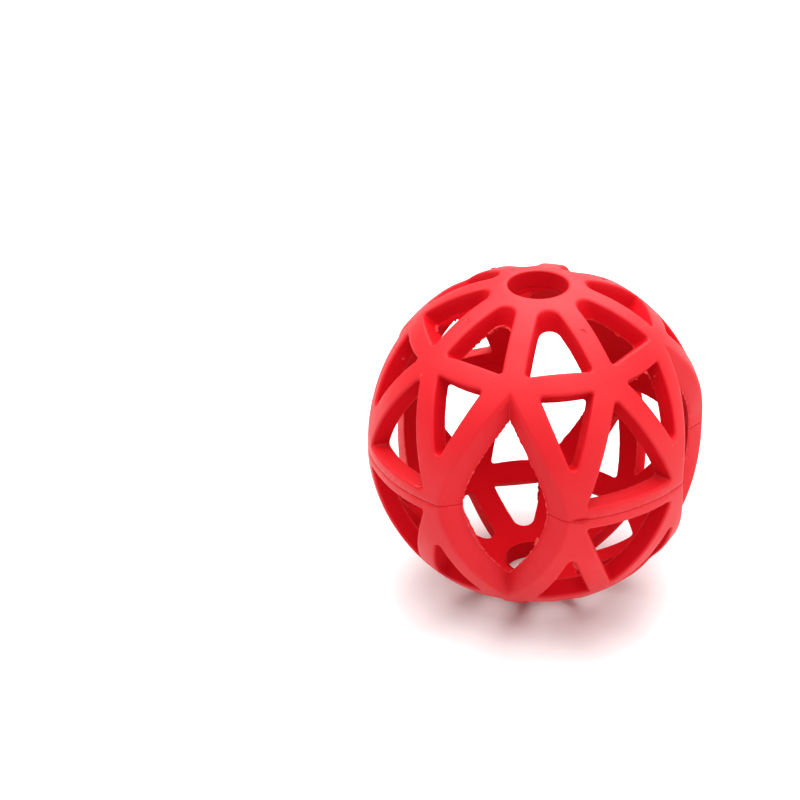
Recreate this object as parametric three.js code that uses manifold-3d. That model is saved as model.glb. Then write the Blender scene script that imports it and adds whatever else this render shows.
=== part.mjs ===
// Lattice ball: a hollow dog toy of moulded rubber, two half shells bonded together at the equator.
// Millimetres. The polar axis is +Z, the origin is the centre of the ball, and a lens faces -Y.
import * as THREE from 'three';
import { mergeVertices } from 'three/addons/utils/BufferGeometryUtils.js';
import Module from 'manifold-3d';

const wasm = await Module();
wasm.setup();

// Overall sizes in millimetres
const ballDiameter = 90;
const wall = 4.8;
const polarHoleDiameter = 15.7;
const polarRingWidth = 4.6;

// Strut widths on the outer face in millimetres
const spokeWidth = 5.8;
const ringWidth = 5.85;
const diagonalWidth = 6.0;
const equatorWidth = 6.0;
const lensStrutReach = 5.3;

// Lattice layout: four lenses round the equator, and a ring of struts half way up each half.
// Both angles are degrees down from the pole: of the ring half way between nodes, and of its nodes.
const lensCount = 4;
const ringPolarAngle = 44.6;
const nodePolarAngle = 45;

// A lens is a pointed oval across the equator, wider on the outside than on the inside (degrees)
const lensTipLatitude = 41.5;
const lensHalfSpan = 21.4;
const lensInnerTipLatitude = 34;
const lensInnerHalfSpan = 15.5;
const lensFullness = 1.6;

// Draft of the walls in degrees; the strut beside a lens leans the other way, towards the lens
const spokeDraft = 7;
const ringDraft = 3.5;
const diagonalDraft = 1;
const equatorDraft = 4;
const lensStrutLean = 10;

// Rounding in millimetres
const windowCorner = 0.7;
const windowPoint = 1.05;
const petalCorner = 0.9;
const edgeBreak = 0.5;
const rimRound = 0.8;
const seamBevel = 0.3;

// Fineness of the facets
const turnSteps = 48;
const arcSteps = 9;
const cornerSteps = 2;
const petalEndSteps = 6;
const sideSteps = 3;
const lensSteps = 7;
const reachPast = 1.5;

// Sizes that follow from the ones above
const outerRadius = ballDiameter / 2;
const innerRadius = outerRadius - wall;
const holeRadius = polarHoleDiameter / 2;
const quarterTurn = 360 / lensCount;
const nodeStep = quarterTurn / 4;
const spokeCount = 2 * lensCount;
const spokeStep = 360 / spokeCount;

const radians = THREE.MathUtils.degToRad;
const up = new THREE.Vector3(0, 0, 1);
const down = new THREE.Vector3(0, 0, -1);

// The petal's end is a full round that touches both spokes and leaves the polar ring its width
const spokeSine = Math.sin(radians(spokeStep / 2));
const petalEndReach = holeRadius + polarRingWidth - spokeWidth / 2 / spokeSine;
const petalEndRadius = Math.max(0.5, petalEndReach / (1 / spokeSine - 1));

// A unit vector at an angle down from the pole and an azimuth from +X
function direction(polar, azimuth) {
  const flat = Math.sin(radians(polar));
  const x = flat * Math.cos(radians(azimuth));
  const y = flat * Math.sin(radians(azimuth));
  return new THREE.Vector3(x, y, Math.cos(radians(polar)));
}

// A closed geometry as a solid that can be cut
function solidFrom(geometry) {
  geometry.deleteAttribute('normal');
  geometry.deleteAttribute('uv');
  const merged = mergeVertices(geometry, 1e-4);
  const vertProperties = merged.attributes.position.array;
  const triVerts = new Uint32Array(merged.index.array);
  return new wasm.Manifold(new wasm.Mesh({ numProp: 3, vertProperties, triVerts }));
}

// A cut solid as a geometry again
function geometryFrom(solid) {
  const mesh = solid.getMesh();
  const geometry = new THREE.BufferGeometry();
  geometry.setAttribute('position', new THREE.BufferAttribute(new Float32Array(mesh.vertProperties), 3));
  geometry.setIndex(new THREE.BufferAttribute(new Uint32Array(mesh.triVerts), 1));
  geometry.computeVertexNormals();
  return geometry;
}

// Points along an arc in the turned profile, both ends included
function profileArc(centre, radius, from, to, steps) {
  const points = [];
  for (let i = 0; i <= steps; i += 1) {
    const angle = from + (to - from) * i / steps;
    const x = centre.x + radius * Math.cos(angle);
    const y = centre.y + radius * Math.sin(angle);
    points.push(new THREE.Vector2(x, y));
  }
  return points;
}

// The plain half shell: a turned wall with a hole at the pole and a flat bond face at the equator.
// The rounded rim of the hole ends in a narrow level land, which is what the ball stands on.
function halfShell() {
  const middle = new THREE.Vector2(0, 0);
  const rimAcross = holeRadius + rimRound;
  const rimHeight = Math.sqrt((outerRadius - rimRound) ** 2 - rimAcross ** 2);
  const rimCentre = new THREE.Vector2(rimAcross, rimHeight);
  const rimAngle = Math.atan2(rimHeight, rimAcross);
  const seamAngle = Math.asin(seamBevel / outerRadius);
  const innerTop = Math.acos(holeRadius / innerRadius);
  const outside = profileArc(middle, outerRadius, seamAngle, rimAngle, arcSteps);
  const rim = profileArc(rimCentre, rimRound, Math.PI - rimAngle, Math.PI, 2);
  const inside = profileArc(middle, innerRadius, innerTop, 0, arcSteps);
  const bond = new THREE.Vector2(outerRadius - seamBevel, 0);
  const profile = [...outside, ...rim, ...inside, bond, outside[0].clone()];
  const turned = new THREE.LatheGeometry(profile, turnSteps);
  turned.rotateX(Math.PI / 2);
  return solidFrom(turned);
}

// The side of a strut that runs along a great circle; it widens towards the inside by the draft
function strutSide(normal, halfWidth, draft) {
  const slope = Math.tan(radians(draft));
  const reach = (radius) => halfWidth + slope * (outerRadius - radius);
  return { normal, reach };
}

// The upper side of the ring of struts, which is straight from node to node
function ringTop(azimuth) {
  const uphill = direction(ringPolarAngle - 90, azimuth);
  return strutSide(uphill, ringWidth / 2, ringDraft);
}

// The lower side of the ring of struts, which runs along a circle of latitude
function ringFoot() {
  const slope = Math.tan(radians(ringDraft));
  const reach = (radius) => {
    const half = ringWidth / 2 + slope * (outerRadius - radius);
    return -radius * Math.cos(radians(ringPolarAngle) + half / radius);
  };
  return { normal: down, reach };
}

// The normal of the great circle through two directions, on the side that faces an opening
function sideNormal(from, to, facing) {
  const normal = from.clone().cross(to).normalize();
  return normal.dot(facing) < 0 ? normal.negate() : normal;
}

// Where two circles on the unit sphere cross, on the side of an opening
function crossing(first, second, firstSine, secondSine, facing) {
  const between = first.dot(second);
  const spread = 1 - between * between;
  const a = (firstSine - secondSine * between) / spread;
  const b = (secondSine - firstSine * between) / spread;
  const rest = 1 - a * a - b * b - 2 * a * b * between;
  const along = first.clone().cross(second);
  const size = Math.sqrt(Math.max(0, rest) / spread) * Math.sign(along.dot(facing));
  return first.clone().multiplyScalar(a).addScaledVector(second, b).addScaledVector(along, size);
}

// The direction from a corner's centre, along the sphere, to the side it touches
function towardsSide(centre, normal) {
  return normal.clone().addScaledVector(centre, -normal.dot(centre)).normalize().negate();
}

// One opening's outline on a sphere about the ball's centre: sides along circles, corners rounded.
// Widening moves every side outwards and turns the corners with a larger radius.
function outline(opening, radius, widening) {
  const arcs = opening.sides.map((side, i) => {
    const next = opening.sides[(i + 1) % opening.sides.length];
    const corner = opening.corners[i] / radius;
    const turn = (opening.corners[i] + widening) / radius;
    const firstSine = Math.sin(Math.asin(side.reach(radius) / radius) + corner);
    const secondSine = Math.sin(Math.asin(next.reach(radius) / radius) + corner);
    const centre = crossing(side.normal, next.normal, firstSine, secondSine, opening.facing);
    const start = towardsSide(centre, side.normal);
    const end = towardsSide(centre, next.normal);
    const sweep = start.angleTo(end);
    const points = [];
    for (let k = 0; k <= opening.steps[i]; k += 1) {
      const share = k / opening.steps[i];
      const heading = start.clone().multiplyScalar(Math.sin((1 - share) * sweep));
      heading.addScaledVector(end, Math.sin(share * sweep)).normalize();
      const point = centre.clone().multiplyScalar(Math.cos(turn));
      points.push(point.addScaledVector(heading, Math.sin(turn)));
    }
    return points;
  });
  const loop = [];
  arcs.forEach((arc, i) => {
    const axis = opening.sides[(i + 1) % arcs.length].normal;
    const start = arc[arc.length - 1];
    const end = arcs[(i + 1) % arcs.length][0];
    const height = axis.dot(start);
    const first = start.clone().addScaledVector(axis, -height);
    const last = end.clone().addScaledVector(axis, -axis.dot(end));
    const sweep = first.angleTo(last);
    loop.push(...arc);
    for (let k = 1; k < sideSteps; k += 1) {
      const share = k / sideSteps;
      const point = first.clone().multiplyScalar(Math.sin((1 - share) * sweep));
      point.addScaledVector(last, Math.sin(share * sweep)).divideScalar(Math.sin(sweep));
      loop.push(point.addScaledVector(axis, height));
    }
  });
  return loop.map((point) => point.multiplyScalar(radius));
}

// A closed solid through loops of equal count, listed from the outside to the inside
function loft(loops, facing) {
  const count = loops[0].length;
  const points = loops.flat();
  const outerTip = points.length;
  points.push(facing.clone().multiplyScalar(outerRadius * 1.6));
  const innerTip = points.length;
  points.push(facing.clone().multiplyScalar(innerRadius * 0.7));
  const faces = [];
  for (let j = 0; j < count; j += 1) {
    const k = (j + 1) % count;
    faces.push(outerTip, j, k);
    for (let i = 0; i + 1 < loops.length; i += 1) {
      const above = i * count;
      const below = above + count;
      faces.push(above + j, below + j, below + k);
      faces.push(above + j, below + k, above + k);
    }
    const last = (loops.length - 1) * count;
    faces.push(innerTip, last + k, last + j);
  }
  const geometry = new THREE.BufferGeometry().setFromPoints(points);
  geometry.setIndex(faces);
  return solidFrom(geometry);
}

// The solid that cuts one opening, flared outside so that the outer edge is broken
function openingCutter(opening) {
  const outside = outline(opening, outerRadius + reachPast, edgeBreak + reachPast);
  const flare = outline(opening, outerRadius - edgeBreak, 0);
  const inside = outline(opening, innerRadius - reachPast, 0);
  return loft([outside, flare, inside], opening.facing);
}

// A petal: the opening between two spokes, from the polar ring down to the ring of struts
function petal(azimuth) {
  const facing = direction(30, azimuth + spokeStep / 2);
  const first = sideNormal(up, direction(90, azimuth), facing);
  const second = sideNormal(up, direction(90, azimuth + spokeStep), facing);
  const sides = [
    strutSide(second, spokeWidth / 2, spokeDraft),
    strutSide(first, spokeWidth / 2, spokeDraft),
    ringTop(azimuth + spokeStep / 2),
  ];
  const corners = [petalEndRadius, petalCorner, petalCorner];
  const steps = [petalEndSteps, cornerSteps, cornerSteps];
  return openingCutter({ facing, sides, corners, steps });
}

// A narrow window: a triangle that hangs from the ring of struts, point down, beside a lens
function narrowWindow(azimuth, hand) {
  const node = direction(90, azimuth + hand * nodeStep);
  const facing = direction(ringPolarAngle + 14, azimuth + hand * nodeStep * 1.04);
  const lensSide = sideNormal(direction(nodePolarAngle, azimuth), node, facing);
  const farSide = sideNormal(direction(nodePolarAngle, azimuth + 2 * hand * nodeStep), node, facing);
  const sides = [
    ringFoot(),
    strutSide(lensSide, lensStrutReach, -lensStrutLean),
    strutSide(farSide, diagonalWidth / 2, diagonalDraft),
  ];
  if (hand < 0) sides.reverse();
  const corners = [windowCorner, windowCorner, windowCorner];
  corners[hand < 0 ? 0 : 1] = windowPoint;
  const steps = [cornerSteps, cornerSteps, cornerSteps];
  return openingCutter({ facing, sides, corners, steps });
}

// A wide window: a triangle that stands on the strut along the equator, between two diagonals
function wideWindow(azimuth) {
  const facing = direction(74, azimuth);
  const ringNode = direction(nodePolarAngle, azimuth);
  const first = sideNormal(ringNode, direction(90, azimuth - nodeStep), facing);
  const second = sideNormal(ringNode, direction(90, azimuth + nodeStep), facing);
  const sides = [
    strutSide(second, diagonalWidth / 2, diagonalDraft),
    strutSide(first, diagonalWidth / 2, diagonalDraft),
    strutSide(up, equatorWidth / 2, equatorDraft),
  ];
  const corners = [windowCorner, windowCorner, windowCorner];
  const steps = [cornerSteps, cornerSteps, cornerSteps];
  return openingCutter({ facing, sides, corners, steps });
}

// A lens's outline at one radius: two bowed sides that meet in a point above and below the equator
function lensOutline(azimuth, radius) {
  const share = (radius - innerRadius) / wall;
  const tip = THREE.MathUtils.lerp(lensInnerTipLatitude, lensTipLatitude, share);
  const span = THREE.MathUtils.lerp(lensInnerHalfSpan, lensHalfSpan, share);
  const loop = [];
  for (const hand of [1, -1]) {
    for (let i = 0; i < 2 * lensSteps; i += 1) {
      const height = hand * (i / lensSteps - 1);
      const across = hand * (1 - Math.abs(height) ** lensFullness);
      const point = direction(90 - height * tip, azimuth + across * span);
      loop.push(point.multiplyScalar(radius));
    }
  }
  return loop;
}

// The solid that cuts one lens through both halves
function lensCutter(azimuth) {
  const outside = lensOutline(azimuth, outerRadius + reachPast);
  const inside = lensOutline(azimuth, innerRadius - reachPast);
  return loft([outside, inside], direction(90, azimuth));
}

// One half shell with all of its openings cut
function latticeHalf() {
  let half = halfShell();
  for (let i = 0; i < spokeCount; i += 1) {
    half = half.subtract(petal(i * spokeStep));
  }
  for (let i = 0; i < lensCount; i += 1) {
    const azimuth = i * quarterTurn;
    half = half.subtract(lensCutter(azimuth));
    half = half.subtract(narrowWindow(azimuth, 1));
    half = half.subtract(narrowWindow(azimuth, -1));
    half = half.subtract(wideWindow(azimuth + quarterTurn / 2));
  }
  return geometryFrom(half);
}

function rubber() {
  return new THREE.MeshStandardMaterial({ color: 0xdb2328, roughness: 0.55, metalness: 0 });
}

const upperHalf = new THREE.Mesh(latticeHalf(), rubber());
upperHalf.name = 'upper_half';

// The lower half is the same moulding turned over, bond face to bond face
const lowerHalf = new THREE.Mesh(latticeHalf(), rubber());
lowerHalf.name = 'lower_half';
lowerHalf.rotation.x = Math.PI;

const ball = new THREE.Group();
ball.name = 'lattice_ball';
ball.add(upperHalf, lowerHalf);

export default ball;
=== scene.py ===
# Lattice ball: two moulded rubber shells with their mould flash and vent marks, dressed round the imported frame
import bpy
import bmesh
import math
import numpy as np
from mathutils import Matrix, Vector
from mathutils.geometry import delaunay_2d_cdt


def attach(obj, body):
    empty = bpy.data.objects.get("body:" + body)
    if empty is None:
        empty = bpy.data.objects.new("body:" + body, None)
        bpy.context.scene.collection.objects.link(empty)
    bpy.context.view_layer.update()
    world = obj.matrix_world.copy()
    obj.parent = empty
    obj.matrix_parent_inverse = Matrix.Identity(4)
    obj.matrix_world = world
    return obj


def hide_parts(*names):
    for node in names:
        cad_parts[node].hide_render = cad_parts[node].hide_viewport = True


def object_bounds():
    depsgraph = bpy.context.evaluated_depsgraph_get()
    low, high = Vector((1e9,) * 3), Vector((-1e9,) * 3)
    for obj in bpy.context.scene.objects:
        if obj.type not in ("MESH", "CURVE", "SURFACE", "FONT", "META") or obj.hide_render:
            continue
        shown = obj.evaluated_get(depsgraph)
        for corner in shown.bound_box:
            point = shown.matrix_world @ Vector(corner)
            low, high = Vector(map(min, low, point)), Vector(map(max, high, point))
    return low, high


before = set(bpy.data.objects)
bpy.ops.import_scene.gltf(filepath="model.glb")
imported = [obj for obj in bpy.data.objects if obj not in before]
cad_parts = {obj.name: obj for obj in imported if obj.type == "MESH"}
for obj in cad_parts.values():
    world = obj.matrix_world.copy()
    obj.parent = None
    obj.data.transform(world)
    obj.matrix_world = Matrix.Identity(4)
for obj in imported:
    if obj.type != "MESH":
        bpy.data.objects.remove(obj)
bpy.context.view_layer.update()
scene = bpy.context.scene
scene.view_settings.view_transform = "Standard"
print("frame loaded:", ", ".join(sorted(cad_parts)))

mm = 0.001      # metres
eighth = 45.0      # degrees from the middle of a lens to the middle of a wide window
eighthCosine = math.sqrt(0.5)
upward = np.array((0.0, 0.0, 1.0))


# a value that is a socket is linked, any other is set
def addNode(tree, kind, values=None, **settings):
    node = tree.nodes.new(kind)
    for name, value in settings.items():
        setattr(node, name, value)
    for name, value in (values or {}).items():
        if isinstance(value, bpy.types.NodeSocket):
            tree.links.new(value, node.inputs[name])
        else:
            node.inputs[name].default_value = value
    return node


def addSockets(tree, inputs, outputs):
    for name, kind in inputs:
        tree.interface.new_socket(name, in_out="INPUT", socket_type="NodeSocket" + kind)
    for name, kind in outputs:
        tree.interface.new_socket(name, in_out="OUTPUT", socket_type="NodeSocket" + kind)
    return tree.nodes.new("NodeGroupInput").outputs, tree.nodes.new("NodeGroupOutput").inputs


def shaderGroup(name, inputs, outputs):
    tree = bpy.data.node_groups.new(name, "ShaderNodeTree")
    return tree, *addSockets(tree, [("Vector", "Vector")] + inputs, outputs)


def mathNode(tree, operation, *values):
    return addNode(tree, "ShaderNodeMath", dict(enumerate(values)), operation=operation).outputs[0]


def vectorNode(tree, operation, values):
    return addNode(tree, "ShaderNodeVectorMath", values, operation=operation).outputs[0]


def mapRange(tree, value, fromLow, fromHigh, toLow=0.0, toHigh=1.0):
    values = {"Value": value, "From Min": fromLow, "From Max": fromHigh, "To Min": toLow, "To Max": toHigh}
    return addNode(tree, "ShaderNodeMapRange", values).outputs[0]


def mixColour(tree, share, first, second):
    return addNode(tree, "ShaderNodeMix", {0: share, 6: first, 7: second}, data_type="RGBA").outputs[2]


def noiseNode(tree, vector, scale, detail, roughness=0.5):
    values = {"Vector": vector, "Scale": scale, "Detail": detail, "Roughness": roughness}
    return addNode(tree, "ShaderNodeTexNoise", values).outputs[0]


# fine matte grain of the mould, as a height and as a patchy gloss
grainPlan = {      # a noise is its scale, detail and roughness
    "fine": (3.0, 0.6),      # its scale is an input
    "wide": (260.0, 2.0), "wideShare": 0.8,
    "cloud": (55.0, 4.0, 0.62), "fineShare": 0.25, "glossRange": (0.40, 0.86),
}


def grainGroup():
    tree, into, out = shaderGroup("mouldGrain", [("Fineness", "Float")], [("Height", "Float"), ("Gloss", "Float")])
    fine = noiseNode(tree, into["Vector"], into["Fineness"], *grainPlan["fine"])
    wide = noiseNode(tree, into["Vector"], *grainPlan["wide"])
    tree.links.new(mathNode(tree, "MULTIPLY_ADD", wide, grainPlan["wideShare"], fine), out["Height"])
    cloud = noiseNode(tree, into["Vector"], *grainPlan["cloud"])
    patches = mathNode(tree, "MULTIPLY_ADD", fine, grainPlan["fineShare"], cloud)
    tree.links.new(mapRange(tree, patches, *grainPlan["glossRange"]), out["Gloss"])
    return tree


# slow drift between two shades of the rubber
driftPlan = {"noise": (32.0, 3.0, 0.55), "range": (0.30, 0.70)}


def driftGroup():
    tree, into, out = shaderGroup("colourDrift", [("Fresh", "Color"), ("Deep", "Color")], [("Colour", "Color")])
    share = mapRange(tree, noiseNode(tree, into["Vector"], *driftPlan["noise"]), *driftPlan["range"])
    tree.links.new(mixColour(tree, share, into["Fresh"], into["Deep"]), out["Colour"])
    return tree


# pale film in soft patches, laid on the outer faces as handling dust and partly as a painted sheen, and single pale
# specks
filmPlan = {"noise": (90.0, 5.0, 0.68), "range": (0.50, 0.78), "speckRange": (0.050, 0.034)}


def filmGroup():
    tree, into, out = shaderGroup("paleFilm", [("Specks", "Float")], [("Film", "Float"), ("Speck", "Float")])
    dust = noiseNode(tree, into["Vector"], *filmPlan["noise"])
    tree.links.new(mapRange(tree, dust, *filmPlan["range"]), out["Film"])
    cells = addNode(tree, "ShaderNodeTexVoronoi", {"Vector": into["Vector"], "Scale": into["Specks"]})
    tree.links.new(mapRange(tree, cells.outputs["Distance"], *filmPlan["speckRange"]), out["Speck"])
    return tree


grain, drift, film = grainGroup(), driftGroup(), filmGroup()

rubberLook = {
    "fresh": (0.605, 0.0016, 0.0082, 1.0), "deep": (0.555, 0.0012, 0.0068, 1.0),
    "pale": (0.80, 0.11, 0.11, 1.0),      # torn edges, dust, specks, the painted sheen and the painted edge highlight
    # the walls' factor below darkens the walls as painted shade; the torn share mixes in torn flash and the painted
    # edge highlight
    "dustAndSheenShare": (0.020, 0.045), "tornShare": 0.40, "specks": 130.0, "speckShare": 0.5, "paintedWallShade": 0.93,
    "rough": (0.52, 0.66), "wallRough": 0.92, "specular": 0.10, "coat": (0.47, 0.32), "coatRough": 0.52,
    "fineness": 3600.0, "bump": 0.35, "grainDepth": 0.00004,
}
flashLook = dict(rubberLook, fresh=(0.74, 0.030, 0.034, 1.0), deep=(0.66, 0.012, 0.018, 1.0), rough=(0.50, 0.66))


def rubberMaterial(name, look):
    material = bpy.data.materials.new(name)
    material.use_nodes = True
    tree = material.node_tree
    link = tree.links.new
    shader = tree.nodes["Principled BSDF"].inputs
    place = addNode(tree, "ShaderNodeTexCoord").outputs["Object"]

    def shared(group, **values):
        return addNode(tree, "ShaderNodeGroup", dict(values, Vector=place), node_tree=group).outputs
    grained, filmed = shared(grain, Fineness=look["fineness"]), shared(film, Specks=look["specks"])
    drifted = shared(drift, Fresh=look["fresh"], Deep=look["deep"])
    # the pale attribute holds torn flash and a painted highlight along the inner edges
    torn = addNode(tree, "ShaderNodeAttribute", attribute_name="pale").outputs["Fac"]
    outerFace = addNode(tree, "ShaderNodeAttribute", attribute_name="outer").outputs["Fac"]

    # dust and painted sheen on the outer faces, torn edges, a painted highlight along the inner edges and specks
    # are pale, and the walls and inner faces are painted darker as painted shade
    # the pale film on the outer faces is partly handling dust, partly a painted sheen
    cloud = mapRange(tree, filmed["Film"], 0.0, 1.0, *look["dustAndSheenShare"])
    share = mathNode(tree, "MULTIPLY_ADD", cloud, outerFace, mathNode(tree, "MULTIPLY", torn, look["tornShare"]))
    # painted shade: everything off the outer face is darkened
    paintedShade = mapRange(tree, outerFace, 0.0, 1.0, look["paintedWallShade"], 1.0)
    paintedShaded = vectorNode(tree, "SCALE", {0: drifted["Colour"], "Scale": paintedShade})
    dustAndPaintedLight = mixColour(tree, share, paintedShaded, look["pale"])
    speck = mathNode(tree, "MULTIPLY", filmed["Speck"], look["speckShare"])
    link(mixColour(tree, speck, dustAndPaintedLight, look["pale"]), shader["Base Color"])

    # walls stay matte, outer faces shine
    gloss = mapRange(tree, grained["Gloss"], 0.0, 1.0, *look["rough"])
    duller = mathNode(tree, "SUBTRACT", look["wallRough"], gloss)
    matte = mathNode(tree, "MULTIPLY", duller, mathNode(tree, "SUBTRACT", 1.0, outerFace))
    link(mathNode(tree, "ADD", gloss, matte), shader["Roughness"])
    polish = mapRange(tree, grained["Gloss"], 0.0, 1.0, *look["coat"])
    link(mathNode(tree, "MULTIPLY", polish, outerFace), shader["Coat Weight"])
    values = {"Height": grained["Height"], "Strength": look["bump"], "Distance": look["grainDepth"]}
    link(addNode(tree, "ShaderNodeBump", values).outputs[0], shader["Normal"])
    shader["Coat Roughness"].default_value = look["coatRough"]
    shader["Specular IOR Level"].default_value = look["specular"]
    return material


shellRubber = rubberMaterial("shellRubber", rubberLook)
flashRubber = rubberMaterial("flashRubber", flashLook)
print("finishes ready")


# what the geometry trees share
def geoNode(tree, kind, values=None, **settings):
    return addNode(tree, "GeometryNode" + kind, values, **settings).outputs[0]


def geometryTree(name, source, floats, counts=()):
    tree = bpy.data.node_groups.new(name, "GeometryNodeTree")
    inputs = [(source, "Geometry"), *((key, "Float") for key in floats), *((key, "Int") for key in counts)]
    return tree, *addSockets(tree, inputs + [("Material", "Material")], [("Geometry", "Geometry")])


def readAttribute(tree, name, kind="FLOAT"):
    return addNode(tree, "GeometryNodeInputNamedAttribute", {"Name": name}, data_type=kind).outputs["Attribute"]


def storeAttribute(tree, geometry, name, value, selection=True):
    values = {"Geometry": geometry, "Selection": selection, "Name": name, "Value": value}
    return geoNode(tree, "StoreNamedAttribute", values, data_type="FLOAT", domain="POINT")


def seededNoise(tree, seed, scale, detail):
    values = {"Vector": geoNode(tree, "InputPosition"), "W": seed, "Scale": scale, "Detail": detail}
    return addNode(tree, "ShaderNodeTexNoise", values, noise_dimensions="4D").outputs[0]


def join(tree, first, second):
    both = addNode(tree, "GeometryNodeJoinGeometry", {0: first})
    tree.links.new(second, both.inputs[0])
    return both.outputs[0]


def weld(tree, geometry, distance):
    return geoNode(tree, "MergeByDistance", {"Geometry": geometry, "Distance": distance})


def realize(tree, geometry):
    return geoNode(tree, "RealizeInstances", {0: geometry})


def move(tree, geometry, way, length):
    offset = vectorNode(tree, "SCALE", {0: way, "Scale": length})
    return geoNode(tree, "SetPosition", {"Geometry": geometry, "Offset": offset})


# moves each point its own way, by a noise about zero
def crumple(tree, geometry, scale, amount, detail=2.0):
    values = {"Vector": geoNode(tree, "InputPosition"), "Scale": scale, "Detail": detail}
    noise = addNode(tree, "ShaderNodeTexNoise", values).outputs["Color"]
    return move(tree, geometry, vectorNode(tree, "SUBTRACT", {0: noise, 1: (0.5, 0.5, 0.5)}), amount)


# the rotation that stands an axis along one direction and turns X to another
def stand(tree, axis, way, along):
    values = {"Primary Axis": way, "Secondary Axis": along}
    return addNode(tree, "FunctionNodeAxesToRotation", values, primary_axis=axis, secondary_axis="X").outputs[0]


def randomVector(tree, low, high, seed):
    values = {0: low, 1: high, "Seed": seed}
    return addNode(tree, "FunctionNodeRandomValue", values, data_type="FLOAT_VECTOR").outputs[0]


# gives a sheet its thickness and closes it
def thicken(tree, sheet, thickness, distance):
    front = geoNode(tree, "ExtrudeMesh", {"Mesh": sheet, "Offset Scale": thickness, "Individual": False})
    back = geoNode(tree, "FlipFaces", {"Mesh": sheet})
    return weld(tree, join(tree, front, back), distance)


def finishTree(tree, geometry, material, out):
    smooth = geoNode(tree, "SetShadeSmooth", {"Geometry": geometry})
    values = {"Geometry": realize(tree, smooth), "Material": material}
    tree.links.new(geoNode(tree, "SetMaterial", values), out[0])
    return tree


# a mesh laid out in millimetres, with numbers and directions kept on its points
def pointMesh(name, points, edges, faces, numbers, ways):
    mesh = bpy.data.meshes.new(name)
    mesh.from_pydata([tuple(p * mm) for p in points], edges, faces)
    for key, values in numbers.items():
        mesh.attributes.new(key, "FLOAT", "POINT").data.foreach_set("value", values)
    for key, values in ways.items():
        mesh.attributes.new(key, "FLOAT_VECTOR", "POINT").data.foreach_set("vector", np.array(values).ravel())
    return mesh


# a tree's inputs, from the values of the same names in a piece's dictionary
def inputsOf(plan, names, scale=1):
    return {name: plan[name[0].lower() + name[1:].replace(" ", "")] * scale for name in names}


# puts a tree on a mesh, sets its inputs and keeps the result as a plain mesh object
def grow(name, mesh, tree, values):
    source = bpy.data.objects.new(name + "Source", mesh)
    scene.collection.objects.link(source)
    modifier = source.modifiers.new("grow", "NODES")
    modifier.node_group = tree
    for item in tree.interface.items_tree:
        if item.in_out == "INPUT" and item.name in values:
            modifier[item.identifier] = values[item.name]
    graph = bpy.context.evaluated_depsgraph_get()
    grown = source.evaluated_get(graph)
    made = bpy.data.meshes.new_from_object(grown, preserve_all_data_layers=True, depsgraph=graph)
    bpy.data.objects.remove(source)
    made.name = name
    piece = bpy.data.objects.new(name, made)
    scene.collection.objects.link(piece)
    return piece


def tidyMesh(piece, sliver=1e-7):
    work = bmesh.new()
    work.from_mesh(piece.data)
    bmesh.ops.dissolve_degenerate(work, edges=work.edges, dist=sliver)
    bmesh.ops.recalc_face_normals(work, faces=work.faces)
    openEdges = sum(1 for edge in work.edges if not edge.is_manifold)
    volume = work.calc_volume(signed=True) * 1e6
    work.to_mesh(piece.data)
    work.free()
    triangles = sum(len(face.vertices) - 2 for face in piece.data.polygons)
    print(piece.name, triangles, "triangles,", openEdges, "open edges,", round(volume, 2), "cm3")


# one shell: millimetres and degrees, as the moulds are cut
shell = {
    "radius": 45.0, "wall": 4.8, "hole": 7.85, "polarRing": 4.6, "lenses": 4,
    "spoke": 5.8, "ring": 5.85, "diagonal": 6.0, "equator": 6.0, "lensReach": 5.3,
    "ringPolar": 44.6, "nodePolar": 45.0, "nodeStep": 22.5,
    "lensTip": 41.5, "lensSpan": 21.4, "lensTipInside": 34.0, "lensSpanInside": 15.5, "lensFullness": 1.6,
    "spokeDraft": 7.0, "ringDraft": 3.5, "diagonalDraft": 1.0, "equatorDraft": 4.0, "lensLean": 10.0,
    "windowCorner": 0.7, "windowPoint": 1.05, "petalCorner": 0.9,
    "edgeRound": 0.75, "petalRound": 0.58, "lensRound": 0.9, "lensRoundDepth": 0.8, "edgePull": 1.42,
    "rimLand": 0.95, "rimRound": 0.5, "rimPull": 4.0, "innerRound": 0.28,
    "seamLift": 0.13, "seamGroove": 0.20, "seamGrooveInside": 0.06,
    # polar angles inside the petals and wide windows, and how far below the ring and out a narrow window lies
    "petalPolar": 30.0, "widePolar": 74.0, "narrowBelow": 14.0, "narrowOut": 1.04,
    # points along the edges and across the faces
    "pitch": 0.62, "grid": 1.05, "gridGap": 0.62, "bondGrid": 1.6, "roundSteps": 5,
    "petalTurns": [14, 5, 5], "narrowTurns": [5, 6, 5], "wideTurns": [6, 5, 5],
    "lensPoints": 64, "lensStep": 0.004, "rimPoints": 15,
    # steps down a wall and round its inner edge, each with its share of the flash
    "wallSteps": ((0.35, 0.0), (0.62, 0.0), (0.84, 0.0), (0.965, 0.2)),
    "innerSteps": ((0.0, 1.0), (0.34, 1.0), (0.67, 0.5), (1.0, 0.0)),
    "rimWallSteps": (0.3, 0.6, 0.85), "rimInnerSteps": ((0.0, 0.25), (0.5, 0.25), (1.0, 0.0)),
    "windowFlash": 0.42, "lensFlash": 1.0, "seamFlash": 0.3, "edgeFlash": 0.4,      # the last: least on an edge
    "unevenness": 0.00016, "unevenScale": 95.0, "unevenDetail": 2.0,
    # flash that rises from the inner edges, and the strength of a pale line along them that is a painted highlight
    "flashHeight": 0.00028, "flashScale": 980.0, "flashDetail": 3.0, "flashRange": (0.47, 0.62), "edgeLine": 0.45,
    # how far a lens's open walls and the foot of a wide window share the outer face's polish, its pale film of dust
    # and painted sheen, and are spared the walls' painted shade
    "lensShine": 0.8, "footShine": 0.7,
    "weld": 0.00001, "seeds": (1.7, 4.2),
}
outerR, innerR = shell["radius"], shell["radius"] - shell["wall"]


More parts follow.
